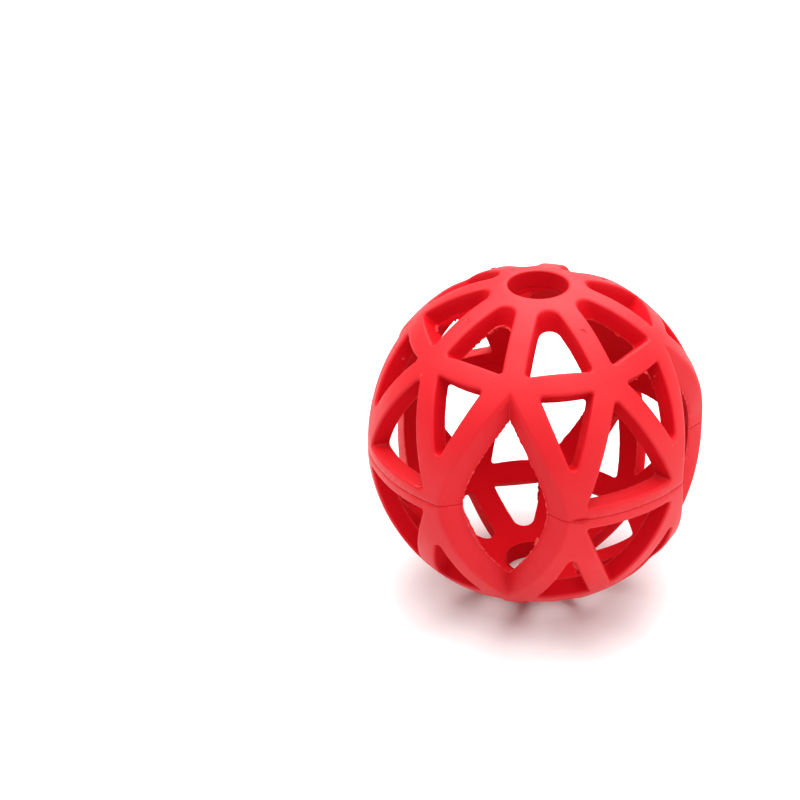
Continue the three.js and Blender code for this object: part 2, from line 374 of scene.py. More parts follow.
def unit(v):
    return v / np.linalg.norm(v)


def direction(polar, azimuth):
    p, a = math.radians(polar), math.radians(azimuth)
    return np.array((math.sin(p) * math.cos(a), math.sin(p) * math.sin(a), math.cos(p)))


# sides of an opening: a normal, and how far the side stands off the ball's centre at a radius
def strutSide(normal, half, draft):
    slope = math.tan(math.radians(draft))
    return normal, lambda r: half + slope * (outerR - r)


# the ring is straight between its nodes above and follows a circle of latitude below
def ringTop():
    return strutSide(direction(shell["ringPolar"] - 90, shell["nodeStep"]), shell["ring"] / 2, shell["ringDraft"])


def ringFoot():
    slope = math.tan(math.radians(shell["ringDraft"]))

    def reach(r):
        half = shell["ring"] / 2 + slope * (outerR - r)
        return -r * math.cos(math.radians(shell["ringPolar"]) + half / r)
    return -upward, reach


def sideNormal(first, second, facing):
    normal = unit(np.cross(first, second))
    return -normal if normal @ facing < 0 else normal


def crossing(first, second, firstSine, secondSine, facing):
    between = first @ second
    spread = 1 - between * between
    a = (firstSine - secondSine * between) / spread
    b = (secondSine - firstSine * between) / spread
    along = np.cross(first, second)
    size = math.sqrt(max(0.0, 1 - a * a - b * b - 2 * a * b * between) / spread)
    return a * first + b * second + along * size * np.sign(along @ facing)


def slide(a, b, share):
    sweep = math.acos(np.clip(unit(a) @ unit(b), -1, 1))
    return (a * math.sin((1 - share) * sweep) + b * math.sin(share * sweep)) / math.sin(sweep)


# one opening's outline on a sphere of radius r, moved outwards by widen
def outline(opening, r, widen):
    sides, corners, turns = opening["sides"], opening["corners"], opening["turns"]
    arcs = []
    for i, corner in enumerate(corners):
        (n1, reach1), (n2, reach2) = sides[i], sides[(i + 1) % 3]
        s1 = math.sin(math.asin(reach1(r) / r) + corner / r)
        s2 = math.sin(math.asin(reach2(r) / r) + corner / r)
        centre = crossing(n1, n2, s1, s2, opening["facing"])
        start, end = (unit(centre * (n @ centre) - n) for n in (n1, n2))
        turn = (corner + widen) / r
        shares = np.linspace(0, 1, turns[i] + 1)
        arcs.append([centre * math.cos(turn) + unit(slide(start, end, t)) * math.sin(turn) for t in shares])
    if "steps" not in opening:      # counted once, so that every loop has the same points
        spans = [np.linalg.norm(arcs[i][-1] - arcs[(i + 1) % 3][0]) * r for i in range(3)]
        opening["steps"] = [2 * math.ceil(span / shell["pitch"] / 2) for span in spans]
    loop = []
    for i, steps in enumerate(opening["steps"]):
        axis = sides[(i + 1) % 3][0]
        start, end = arcs[i][-1], arcs[(i + 1) % 3][0]
        height = axis @ start
        first, last = start - axis * height, end - axis * (axis @ end)
        loop += arcs[i]
        loop += [slide(first, last, k / steps) + axis * height for k in range(1, steps)]
    return np.array(loop) * r


def petalOpening():
    facing = direction(shell["petalPolar"], shell["nodeStep"])
    first = sideNormal(upward, direction(90, 0), facing)
    second = sideNormal(upward, direction(90, eighth), facing)
    half, sine = shell["spoke"] / 2, math.sin(math.radians(shell["nodeStep"]))
    endRadius = (shell["hole"] + shell["polarRing"] - half / sine) / (1 / sine - 1)
    sides = [strutSide(normal, half, shell["spokeDraft"]) for normal in (second, first)] + [ringTop()]
    corners = [endRadius, shell["petalCorner"], shell["petalCorner"]]
    return {"facing": facing, "sides": sides, "corners": corners, "turns": shell["petalTurns"]}


def narrowOpening():
    node = direction(90, shell["nodeStep"])
    facing = direction(shell["ringPolar"] + shell["narrowBelow"], shell["nodeStep"] * shell["narrowOut"])
    lensSide = sideNormal(direction(shell["nodePolar"], 0), node, facing)
    farSide = sideNormal(direction(shell["nodePolar"], eighth), node, facing)
    sides = [ringFoot(), strutSide(lensSide, shell["lensReach"], -shell["lensLean"]),
             strutSide(farSide, shell["diagonal"] / 2, shell["diagonalDraft"])]
    corners = [shell["windowCorner"], shell["windowPoint"], shell["windowCorner"]]
    return {"facing": facing, "sides": sides, "corners": corners, "turns": shell["narrowTurns"]}


def wideOpening():
    facing, ringNode = direction(shell["widePolar"], eighth), direction(shell["nodePolar"], eighth)
    first = sideNormal(ringNode, direction(90, eighth - shell["nodeStep"]), facing)
    second = sideNormal(ringNode, direction(90, eighth + shell["nodeStep"]), facing)
    sides = [strutSide(normal, shell["diagonal"] / 2, shell["diagonalDraft"]) for normal in (second, first)]
    sides.append(strutSide(upward, shell["equator"] / 2, shell["equatorDraft"]))
    corners = [shell["windowCorner"]] * 3
    return {"facing": facing, "sides": sides, "corners": corners, "turns": shell["wideTurns"]}


# the wide window's near half, from its top point to the middle of its foot
def wideHalf(opening, r, widen):
    loop = outline(opening, r, widen)
    turns, steps = opening["turns"], opening["steps"]
    last = turns[0] + steps[0] + turns[1] + steps[1] // 2
    part = loop[turns[0] // 2:last + 1].copy()
    for k in (0, -1):       # both ends lie in the plane between two lenses
        part[k, :2] = np.hypot(*part[k, :2]) * eighthCosine
    return part


# the lens's edge from its point down to just above the seam
def lensEdge(r, widen):
    share = (r - innerR) / shell["wall"]
    tip = shell["lensTipInside"] + (shell["lensTip"] - shell["lensTipInside"]) * share
    span = shell["lensSpanInside"] + (shell["lensSpan"] - shell["lensSpanInside"]) * share
    step = shell["lensStep"]

    def at(height):
        return direction(90 - height * tip, span * (1 - max(height, 0.0) ** shell["lensFullness"])) * r
    low = math.degrees(math.asin(shell["seamLift"] / r)) / tip
    edge = []
    for height in np.linspace(1, low, shell["lensPoints"]):
        point = at(height)
        along = unit(at(height - step) - at(min(1.0, height + step)))
        away = unit(np.cross(point, along))
        away = away if away[1] > 0 else -away
        moved = point + away * widen
        if height == 1:     # the two sides meet in the lens's own plane
            moved = moved - along * (moved[1] / along[1])
            moved[1] = 0.0
        edge.append(unit(moved) * r)
    edge[-1][:2] *= math.sqrt(r * r - shell["seamLift"] ** 2) / np.hypot(*edge[-1][:2])
    edge[-1][2] = shell["seamLift"]
    return np.array(edge)


# a point on the curve that rounds a corner; more pull keeps the corner crisper
def roundOff(first, corner, last, share, pull=shell["edgePull"]):
    a, b, c = (1 - share) ** 2, pull * share * (1 - share), share ** 2
    return (a * first + b * corner + c * last) / (a + b + c)


# loops from the outer face over the rounded edge, down the wall and round to the inner face, with their flash
def wallRows(loopAt, rounding, depth, flash):
    inner = shell["innerRound"]
    rows = []
    face, corner, wall = loopAt(outerR, rounding), loopAt(outerR, 0), loopAt(outerR - depth, 0)
    for share in np.linspace(0, 1, shell["roundSteps"] + 1):
        rows.append((roundOff(face, corner, wall, share), 0.0))
    for down, weight in shell["wallSteps"]:
        rows.append((loopAt(outerR - depth - (shell["wall"] - depth - inner) * down, 0), weight * flash))
    wall, corner, face = loopAt(innerR + inner, 0), loopAt(innerR, 0), loopAt(innerR, inner)
    for share, weight in shell["innerSteps"]:
        rows.append((roundOff(wall, corner, face, share), flash * weight))
    return rows


# the rim of the polar hole: a level land that the ball stands on, a crisp edge and the hole's straight wall
def rimRows():
    hole, inner = shell["hole"], shell["innerRound"]
    turn = np.radians(np.linspace(0, eighth, shell["rimPoints"]))

    def ring(across, height):
        return np.stack((across * np.cos(turn), across * np.sin(turn), np.full(len(turn), height)), 1)

    def high(r, across):
        return math.sqrt(r * r - across * across)
    rows = []
    outside = hole + shell["rimLand"]
    level = high(outerR, outside)
    top, low = level - shell["rimRound"], high(innerR, hole) + inner
    for share in np.linspace(0, 1, shell["roundSteps"] + 1):
        rounded = roundOff(ring(outside, level), ring(hole, level), ring(hole, top), share, shell["rimPull"])
        rows.append((rounded, 0.0))
    for down in shell["rimWallSteps"]:
        rows.append((ring(hole, top + (low - top) * down), 0.0))
    face = ring(hole + inner, high(innerR, hole + inner))
    for share, weight in shell["rimInnerSteps"]:
        rows.append((roundOff(ring(hole, low), ring(hole, high(innerR, hole)), face, share), weight))
    return rows


# one eighth of a shell's wall, from the middle of a lens to the middle of a wide window
def sectorMesh():
    points, flashOf, looseOf, shineOf, faces = [], [], [], [], []

    def put(rows, flash=0.0, loose=1.0, shine=0.0):
        start = len(points)
        points.extend(np.asarray(row, float) for row in rows)
        flashOf.extend([flash] * len(rows))
        looseOf.extend([loose] * len(rows))
        shineOf.extend([shine] * len(rows))
        return list(range(start, len(points)))

    def strip(rows, closed):
        for above, below in zip(rows, rows[1:]):
            for k in range(len(above) - (0 if closed else 1)):
                j = (k + 1) % len(above)
                faces.append((above[k], above[j], below[j], below[k]))

    def putWall(loopAt, rounding, depth, flash, shine=0.0):
        return [put(*row, shine=shine) for row in wallRows(loopAt, rounding, depth, flash)]

    petal, narrow, wide = petalOpening(), narrowOpening(), wideOpening()
    rounding, petalRounding, flash = shell["edgeRound"], shell["petalRound"], shell["windowFlash"]
    petalRows = putWall(lambda r, w: outline(petal, r, w), petalRounding, petalRounding, flash)
    narrowRows = putWall(lambda r, w: outline(narrow, r, w), rounding, rounding, flash)
    wideRows = putWall(lambda r, w: wideHalf(wide, r, w), rounding, rounding, flash)
    lensDepth = shell["lensRound"] * shell["lensRoundDepth"]
    lensRows = putWall(lensEdge, shell["lensRound"], lensDepth, shell["lensFlash"], shell["lensShine"])
    for i in sum(wideRows, []):
        if points[i][2] < shell["equator"] / 2 + shell["windowCorner"]:
            shineOf[i] = shell["footShine"]
    poleRows = [put(*row) for row in rimRows()]
    for rows in (petalRows, narrowRows):
        strip(rows, True)
    for rows in (wideRows, lensRows, poleRows):
        strip(rows, False)

    # points between two others along a circle about the centre, or along the level of the seam
    def between(a, b):
        count = max(1, round(np.linalg.norm(points[a] - points[b]) / shell["pitch"]))
        return put([slide(points[a], points[b], k / count) for k in range(1, count)])

    def alongSeam(a, r):
        flat = math.sqrt(r * r - shell["seamLift"] ** 2)
        start, end = math.atan2(points[a][1], points[a][0]), math.radians(eighth)
        count = round((end - start) * r / shell["pitch"])
        turn = [start + (end - start) * k / count for k in range(1, count + 1)]
        rows = [(flat * math.cos(t), flat * math.sin(t), shell["seamLift"]) for t in turn]
        return put(rows, shell["seamFlash"] if r == outerR else 0.0)

    def inside(flat, loops, spots):
        found = np.zeros(len(spots), bool)
        for loop in loops:
            for k, j in zip(loop, loop[1:] + loop[:1]):
                (x1, y1), (x2, y2) = flat[k], flat[j]
                if y1 != y2:
                    cuts = (y1 > spots[:, 1]) != (y2 > spots[:, 1])
                    found ^= cuts & (spots[:, 0] < x1 + (spots[:, 1] - y1) * (x2 - x1) / (y2 - y1))
        return found

    # fills a region between loops with even triangles; unroll takes a point to the flat, roll takes it back
    def fill(loops, unroll, roll, spacing, loose=1.0, nearest=1e-7):
        ids = [i for loop in loops for i in loop]
        flat = np.array([unroll(points[i]) for i in ids])
        local, start = [], 0
        for loop in loops:
            local.append(list(range(start, start + len(loop))))
            start += len(loop)
        edges = [pair for loop in local for pair in zip(loop, loop[1:] + loop[:1])]
        low, high = flat.min(0), flat.max(0)
        rowStep = spacing * math.sqrt(0.75)
        columns, rows = int((high[0] - low[0]) / spacing) + 1, int((high[1] - low[1]) / rowStep) + 1
        spots = np.array([(low[0] + (k + 0.5 * (j % 2)) * spacing, low[1] + j * rowStep)
                          for j in range(rows) for k in range(columns)])
        spots = spots[inside(flat, local, spots)]
        if len(spots):
            gap = np.sqrt(((spots[:, None, :] - flat[None, :, :]) ** 2).sum(2)).min(1)
            spots = spots[gap > spacing * shell["gridGap"]]
        ids += put([roll(s) for s in spots], 0.0, loose)
        flat = np.concatenate((flat, spots)) if len(spots) else flat
        made = delaunay_2d_cdt([Vector(p) for p in flat], edges, [], 0, nearest)
        source = [ids[origin[0]] for origin in made[3]]
        centres = np.array([np.mean([made[0][v] for v in face], 0) for face in made[2]])
        for face, kept in zip(made[2], inside(flat, local, centres)):
            if kept:
                faces.append(tuple(source[v] for v in face))

    def skin(row, r):
        lens, pole, foot = lensRows[row], poleRows[row], wideRows[row]
        seam = alongSeam(lens[-1], r)
        border = [pole[0]] + between(pole[0], lens[0]) + lens + seam + between(seam[-1], foot[-1])
        border += foot[::-1] + between(foot[0], pole[-1]) + pole[:0:-1]

        def unroll(p):
            polar, azimuth = math.acos(np.clip(p[2] / np.linalg.norm(p), -1, 1)), math.atan2(p[1], p[0])
            return r * polar * math.cos(azimuth), r * polar * math.sin(azimuth)

        def roll(spot):
            return direction(math.degrees(np.hypot(*spot) / r), math.degrees(math.atan2(spot[1], spot[0]))) * r
        fill([border, petalRows[row], narrowRows[row]], unroll, roll, shell["grid"])
        return seam

    outerSeam, innerSeam = skin(0, outerR), skin(-1, innerR)

    # the groove at the seam, then the flat face that is bonded to the other shell
    lensFoot = [row[-1] for row in lensRows]
    brow = outerSeam[::-1] + lensFoot + innerSeam
    outside, within = shell["seamGroove"], shell["seamGrooveInside"]
    groove = np.concatenate((np.full(len(outerSeam), outside), np.linspace(outside, within, len(lensFoot)),
                             np.full(len(innerSeam), within)))
    path = np.array([points[i][:2] for i in brow])
    tangent = np.gradient(path, axis=0)
    tangent /= np.linalg.norm(tangent, axis=1)[:, None]
    inset = path + np.stack((tangent[:, 1], -tangent[:, 0]), 1) * groove[:, None]
    for k, way in ((0, 1), (-1, -1)):
        inset[k] = np.hypot(*path[k]) * eighthCosine - way * groove[k] * eighthCosine
    bond = put([(x, y, 0.0) for x, y in inset], 0.0, 0.0)
    strip([brow, bond], False)
    fill([bond], lambda p: p[:2], lambda s: (s[0], s[1], 0.0), shell["bondGrid"], 0.0)

    def outerFace(point, shine):      # 1 on the outer face, 0 on the inner face and down the closer walls
        r = np.linalg.norm(point)
        return float(np.clip(max((r - outerR) / shell["edgeRound"] + 1, shine * min(1.0, r - innerR)), 0, 1))
    outerOf = [outerFace(point, shine) for point, shine in zip(points, shineOf)]
    mesh = pointMesh("shellSector", points, [], faces, {"flash": flashOf, "loose": looseOf, "outer": outerOf}, {})
    work = bmesh.new()
    work.from_mesh(mesh)
    bmesh.ops.recalc_face_normals(work, faces=work.faces)
    work.faces.ensure_lookup_table()
    top = max(work.faces, key=lambda f: f.calc_center_median().length)
    if top.normal.dot(top.calc_center_median()) < 0:
        bmesh.ops.reverse_faces(work, faces=work.faces)
    work.to_mesh(mesh)
    work.free()
    return mesh


# makes a whole shell of the sector: mirrored, turned round the pole, closed up, then worked by the mould's faults
def shellTree():
    floats = ["Turned Over", "Unevenness", "Uneven Scale", "Flash Height", "Flash Scale", "Edge Line", "Seed"]
    tree, into, out = geometryTree("latticeShell", "Sector", floats, ["Lenses"])
    mirrored = geoNode(tree, "Transform", {"Geometry": into["Sector"], "Scale": (1.0, -1.0, 1.0)})
    flipped = geoNode(tree, "FlipFaces", {"Mesh": mirrored})
    quarter = join(tree, into["Sector"], flipped)
    turn = mathNode(tree, "DIVIDE", 2 * math.pi, into["Lenses"])
    angle = mathNode(tree, "MULTIPLY", geoNode(tree, "InputIndex"), turn)
    spin = addNode(tree, "ShaderNodeCombineXYZ", {"Z": angle}).outputs[0]
    centres = geoNode(tree, "Points", {"Count": into["Lenses"]})
    copies = geoNode(tree, "InstanceOnPoints", {"Points": centres, "Instance": quarter, "Rotation": spin})
    closed = weld(tree, realize(tree, copies), shell["weld"])
    over = addNode(tree, "ShaderNodeCombineXYZ", {"X": into["Turned Over"]}).outputs[0]
    placed = geoNode(tree, "Transform", {"Geometry": closed, "Rotation": over})

    normal, flash = geoNode(tree, "InputNormal"), readAttribute(tree, "flash")
    swell = seededNoise(tree, into["Seed"], into["Uneven Scale"], shell["unevenDetail"])
    swell = mathNode(tree, "MULTIPLY", mathNode(tree, "SUBTRACT", swell, 0.5), into["Unevenness"])
    uneven = move(tree, placed, normal, mathNode(tree, "MULTIPLY", swell, readAttribute(tree, "loose")))
    ragged = seededNoise(tree, into["Seed"], into["Flash Scale"], shell["flashDetail"])
    ragged = mathNode(tree, "MULTIPLY", mapRange(tree, ragged, *shell["flashRange"]), flash)
    # torn flash is paler by its ragged noise; the constant pale line added along every inner edge is a painted
    # highlight
    edgeOnly = mathNode(tree, "GREATER_THAN", flash, shell["edgeFlash"])
    pale = mathNode(tree, "MULTIPLY_ADD", edgeOnly, into["Edge Line"], ragged)
    shown = storeAttribute(tree, uneven, "pale", pale)
    heavy = mathNode(tree, "MULTIPLY", ragged, flash)
    torn = move(tree, shown, normal, mathNode(tree, "MULTIPLY", heavy, into["Flash Height"]))
    return finishTree(tree, torn, into["Material"], out)


sector = sectorMesh()
print("sector:", len(sector.vertices), "points,", len(sector.polygons), "faces")
shellNodes = shellTree()
shellInputs = inputsOf(shell, ("Lenses", "Unevenness", "Uneven Scale", "Flash Height", "Flash Scale", "Edge Line"))
shellInputs["Material"] = shellRubber
upperSeed, lowerSeed = shell["seeds"]
upperShell = grow("upperShell", sector, shellNodes, dict(shellInputs, Seed=upperSeed))
lowerShell = grow("lowerShell", sector, shellNodes, dict(shellInputs, Seed=lowerSeed, **{"Turned Over": math.pi}))
for piece, node in ((upperShell, "upper_half"), (lowerShell, "lower_half")):
    tidyMesh(piece)
    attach(piece, "root")
    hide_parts(node)
print("shells ready")


# torn webs of flash left standing on the inner edges of the openings
tornFlash = {
    # how often a web is left, everywhere and near the worst spots, and how far from those and how much larger
    "share": 0.004, "nearShare": 0.50, "nearReach": 1.8, "nearSize": 1.0, "leastFlash": 0.25, "seed": 3,
    "length": 1.3, "height": 0.50, "thickness": 0.13, "ragged": 0.34,      # millimetres
    "pointsAlong": 6, "pointsUp": 4, "lift": 0.30, "raggedScale": 1400.0, "weld": 0.000001,
    "smallest": (0.5, 0.45, 0.8), "largest": (1.3, 1.25, 1.3),
    # polar angle, azimuth, radius, and how bad the tear is
    "spots": [(39.5, -167.5, 40.4, 1.0), (118.5, -61.5, 41.0, 0.8), (104.0, -77.5, 40.4, 0.5),
              (24.0, -121.0, 40.3, 0.4), (21.0, -111.0, 40.3, 0.4), (84.0, -15.5, 40.4, 0.6),
              (40.5, 104.0, 40.6, 0.8), (118.5, 118.0, 41.0, 0.6)],
}


def tornTree():
    floats = ["Share", "Near Share", "Near Size", "Length", "Height", "Thickness", "Ragged"]
    tree, into, out = geometryTree("tornFlash", "Shell", floats, ["Seed"])

    # one web: a thin sheet, closed, a fifth of it sunk in the edge that it stands on
    values = {"Size X": into["Length"], "Size Y": into["Height"],
              "Vertices X": tornFlash["pointsAlong"], "Vertices Y": tornFlash["pointsUp"]}
    sheet = geoNode(tree, "MeshGrid", values)
    lift = mathNode(tree, "MULTIPLY", into["Height"], tornFlash["lift"])
    lift = addNode(tree, "ShaderNodeCombineXYZ", {"Y": lift}).outputs[0]
    raised = geoNode(tree, "Transform", {"Geometry": sheet, "Translation": lift})
    web = thicken(tree, raised, into["Thickness"], tornFlash["weld"])

    # where webs are left: by chance along the edges, and often near the worst spots
    flash, near = readAttribute(tree, "flash"), readAttribute(tree, "near")
    edgeOnly = mathNode(tree, "MULTIPLY", mathNode(tree, "GREATER_THAN", flash, shell["edgeFlash"]), flash)
    nearby = mathNode(tree, "MULTIPLY", near, into["Near Share"])
    chance = mathNode(tree, "MULTIPLY_ADD", edgeOnly, into["Share"], nearby)
    values = {"Probability": chance, "Seed": into["Seed"]}
    left = addNode(tree, "FunctionNodeRandomValue", values, data_type="BOOLEAN").outputs[3]
    normal = geoNode(tree, "InputNormal")
    along = vectorNode(tree, "CROSS_PRODUCT", {0: normal, 1: geoNode(tree, "InputPosition")})
    turned = stand(tree, "Y", normal, along)
    size = randomVector(tree, tornFlash["smallest"], tornFlash["largest"], into["Seed"])
    larger = mathNode(tree, "MULTIPLY_ADD", near, into["Near Size"], 1.0)
    size = vectorNode(tree, "SCALE", {0: size, "Scale": larger})
    values = {"Points": into["Shell"], "Selection": left, "Instance": web, "Rotation": turned, "Scale": size}
    copies = geoNode(tree, "InstanceOnPoints", values)
    bent = crumple(tree, realize(tree, copies), tornFlash["raggedScale"], into["Ragged"])
    return finishTree(tree, bent, into["Material"], out)


# a copy of a shell's mesh on which the worst spots are marked
def nearSpots(piece):
    mesh = piece.data.copy()
    where, flash = np.zeros(len(mesh.vertices) * 3), np.zeros(len(mesh.vertices))
    mesh.vertices.foreach_get("co", where)
    mesh.attributes["flash"].data.foreach_get("value", flash)
    where = where.reshape(-1, 3) * 1000
    near = np.zeros(len(where))
    for polar, azimuth, radius, tear in tornFlash["spots"]:
        gap = np.linalg.norm(where - direction(polar, azimuth) * radius, axis=1)
        near[gap < tornFlash["nearReach"]] = tear
    near *= flash > tornFlash["leastFlash"]
    mesh.attributes.new("near", "FLOAT", "POINT").data.foreach_set("value", near)
    return mesh


tornInputs = {**inputsOf(tornFlash, ("Share", "Near Share", "Near Size", "Seed")),
              **inputsOf(tornFlash, ("Length", "Height", "Thickness", "Ragged"), mm), "Material": flashRubber}
tornNodes = tornTree()
for name, piece in (("upperFlash", upperShell), ("lowerFlash", lowerShell)):
    webs = grow(name, nearSpots(piece), tornNodes, tornInputs)
    tidyMesh(webs)
    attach(webs, "root")
print("torn flash ready")


# sheets of flash that still hang from the inner edges of petals, lenses and polar holes, and lips along the seam
sheetFlash = {
    # millimetres; degrees that a sheet hangs into the ball
    "thickness": 0.12, "sunk": 0.35, "level": 40.55, "lean": 60.0, "seamLift": 0.10,
    # the share of the width that stays whole, and what each torn step adds by a noise
    "whole": 0.60, "tearRange": (0.40, 0.66), "tornShare": (0.03, 0.30), "raggedScale": 1500.0, "raggedDetail": 3.0,
    "seed": 5.0, "paleEdge": 0.4, "crumpleScale": 900.0, "crumpleShare": 0.25,
    "ends": (0.02, 0.98), "rimStep": 4.0, "seamStep": 0.6, "divisions": 2, "weld": 1e-8,
    # azimuth of the petal, half, where on its edge the sheet starts and ends, width
    "petals": [(-157.5, 1, 0.08, 0.47, 1.75), (-157.5, 1, 0.47, 0.64, 1.2), (-112.5, 1, 0.00, 0.46, 0.65),
               (67.5, 1, 0.70, 0.95, 0.9), (112.5, -1, 0.30, 0.52, 1.3)],
    # azimuth of the lens, side, half, where on its edge the sheet starts and ends, how far the wall runs on, width
    "lenses": [(-90.0, -1, -1, 0.40, 0.99, 0.70, 0.42), (-90.0, -1, 1, 0.85, 0.99, 0.35, 0.40),
               (90.0, 1, 1, 0.55, 0.95, 0.60, 0.45)],
    # half of the hole, azimuths, how far its wall runs on, width
    "rims": [(1, 55.0, 265.0, 1.9, 0.30), (1, -60.0, 54.0, 0.5, 0.30), (-1, 20.0, 330.0, 0.5, 0.30)],
    "seams": [(-66.5, -60.5, 0.40), (113.0, 119.0, 0.40)],      # azimuths and width
}


def sheetPaths():
    points, ways, root, wide, outer, edges = [], [], [], [], [], []
    sunk, level = sheetFlash["sunk"], sheetFlash["level"]

    def addPath(rows, inward, width, runOn=0.0, shine=0.0):
        start = len(points)
        taper = np.sin(np.pi * np.linspace(*sheetFlash["ends"], len(rows)))
        points.extend(rows - inward * sunk)
        ways.extend(inward)
        root.extend((sunk + runOn * taper) * mm)
        wide.extend(width * np.sqrt(taper) * mm)
        outer.extend([shine] * len(rows))
        edges.extend((k, k + 1) for k in range(start, len(points) - 1))

    def spinning(azimuth, half):
        turn = math.radians(azimuth)
        return np.array(((math.cos(turn), math.sin(turn), 0), (-math.sin(turn), math.cos(turn), 0), (0, 0, half)))

    def partOf(rows, first, last):
        return slice(int(first * len(rows)), int(last * len(rows)))

    petal = petalOpening()
    loop = outline(petal, level, 0)
    inward = np.cross(loop, np.roll(loop, -1, 0) - np.roll(loop, 1, 0))
    inward /= np.linalg.norm(inward, axis=1)[:, None]
    if inward[0] @ (petal["facing"] * level - loop[0]) < 0:
        inward = -inward
    lean = math.radians(sheetFlash["lean"])
    inward = inward * math.cos(lean) - loop * math.sin(lean) / level
    for azimuth, half, first, last, width in sheetFlash["petals"]:
        spin, part = spinning(azimuth - shell["nodeStep"], half), partOf(loop, first, last)
        addPath(loop[part] @ spin, inward[part] @ spin, width)

    edge, deeper = (lensEdge(r, sheetFlash["thickness"]) for r in (level, innerR))
    inward = (deeper - edge) / np.linalg.norm(deeper - edge, axis=1)[:, None]
    for azimuth, side, half, first, last, runOn, width in sheetFlash["lenses"]:
        spin, part = spinning(azimuth, half), partOf(edge, first, last)
        rows, way = (given[part] * (1, side, 1) @ spin for given in (edge, inward))
        addPath(rows, way, width, runOn, shell["lensShine"])

    across = shell["hole"] + sheetFlash["thickness"]
    for half, first, last, runOn, width in sheetFlash["rims"]:
        centre = upward * math.sqrt(level ** 2 - across ** 2) * half
        azimuths = np.arange(first, last, sheetFlash["rimStep"])
        ring = np.array([direction(90, azimuth) * across + centre for azimuth in azimuths])
        addPath(ring, np.tile(-upward * half, (len(ring), 1)), width, runOn)
    for first, last, width in sheetFlash["seams"]:
        azimuths = np.arange(first, last, sheetFlash["seamStep"])
        facing = np.array([direction(90, azimuth) for azimuth in azimuths])
        addPath(facing * outerR + upward * sheetFlash["seamLift"], facing, width)
    return pointMesh("sheetPaths", points, edges, [], {"root": root, "wide": wide, "outer": outer}, {"grow": ways})


def sheetTree():
    tree, into, out = geometryTree("sheetFlash", "Paths", ["Thickness", "Ragged Scale", "Seed"])
    way, root = readAttribute(tree, "grow", "FLOAT_VECTOR"), readAttribute(tree, "root")
    wide = readAttribute(tree, "wide")
    tear = seededNoise(tree, into["Seed"], into["Ragged Scale"], sheetFlash["raggedDetail"])
    fine = geoNode(tree, "SubdivideMesh", {"Mesh": into["Paths"], "Level": sheetFlash["divisions"]})

    # the sheet grows out of the edge in three steps, the last two torn
    def step(geometry, edge, length):
        offset = vectorNode(tree, "SCALE", {0: way, "Scale": length})
        values = {"Mesh": geometry, "Selection": edge, "Offset": offset}
        grown = addNode(tree, "GeometryNodeExtrudeMesh", values, mode="EDGES").outputs
        return grown["Mesh"], grown["Top"]
    torn = mapRange(tree, tear, *sheetFlash["tearRange"], *sheetFlash["tornShare"])
    torn = mathNode(tree, "MULTIPLY", wide, torn)
    sheet, edge = step(fine, True, mathNode(tree, "MULTIPLY_ADD", wide, sheetFlash["whole"], root))
    for _ in range(2):
        sheet, edge = step(sheet, edge, torn)
    sheet = storeAttribute(tree, sheet, "pale", sheetFlash["paleEdge"], edge)
    solid = thicken(tree, sheet, into["Thickness"], sheetFlash["weld"])
    amount = mathNode(tree, "MULTIPLY", wide, sheetFlash["crumpleShare"])
    bent = crumple(tree, solid, sheetFlash["crumpleScale"], amount)
    return finishTree(tree, bent, into["Material"], out)


sheetInputs = {**inputsOf(sheetFlash, ("Ragged Scale", "Seed")), **inputsOf(sheetFlash, ("Thickness",), mm),
               "Material": shellRubber}
sheets = grow("flashSheets", sheetPaths(), sheetTree(), sheetInputs)
tidyMesh(sheets)
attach(sheets, "root")
print("flash sheets ready")


# marks that the mould's vents left: a worn crescent with a torn pip
ventMark = {
    "ring": 0.72, "ridge": 0.16, "raised": 0.09, "sweep": 150.0, "pip": 0.14, "seed": 11,      # mm and degrees
    "arcPoints": 18, "ridgeSides": 6, "pipDivisions": 2, "pipShape": (1.5, 0.8, 1.0), "wornScale": 2600.0,
    "spokePolar": 27.6,      # on every second spoke
    "footSpots": [(-121.2, 43.5, 1), (58.8, 43.5, -1)],      # on the foot of a wide window: azimuth, radius, half
    "footSize": 1.75,
}


def ventTree():
    tree, into, out = geometryTree("ventMarks", "Places", ["Ring", "Ridge", "Sweep", "Pip"], ["Seed"])
    values = {"Resolution": ventMark["arcPoints"], "Radius": into["Ring"], "Sweep Angle": into["Sweep"]}
    arc = geoNode(tree, "CurveArc", values, mode="RADIUS")
    values = {"Resolution": ventMark["ridgeSides"], "Radius": into["Ridge"]}
    section = geoNode(tree, "CurvePrimitiveCircle", values, mode="RADIUS")
    ridge = geoNode(tree, "CurveToMesh", {"Curve": arc, "Profile Curve": section, "Fill Caps": True})
    ball = geoNode(tree, "MeshIcoSphere", {"Radius": into["Pip"], "Subdivisions": ventMark["pipDivisions"]})
    pip = geoNode(tree, "Transform", {"Geometry": ball, "Scale": ventMark["pipShape"]})

    # each mark faces out of the rubber and is turned about by chance
    chance = randomVector(tree, (-1.0, -1.0, -1.0), (1.0, 1.0, 1.0), into["Seed"])
    turned = stand(tree, "Z", readAttribute(tree, "facing", "FLOAT_VECTOR"), chance)
    values = {"Points": into["Places"], "Instance": join(tree, ridge, pip), "Rotation": turned,
              "Scale": readAttribute(tree, "size")}
    copies = geoNode(tree, "InstanceOnPoints", values)
    worn = crumple(tree, realize(tree, copies), ventMark["wornScale"], into["Pip"])
    return finishTree(tree, storeAttribute(tree, worn, "outer", 1.0), into["Material"], out)


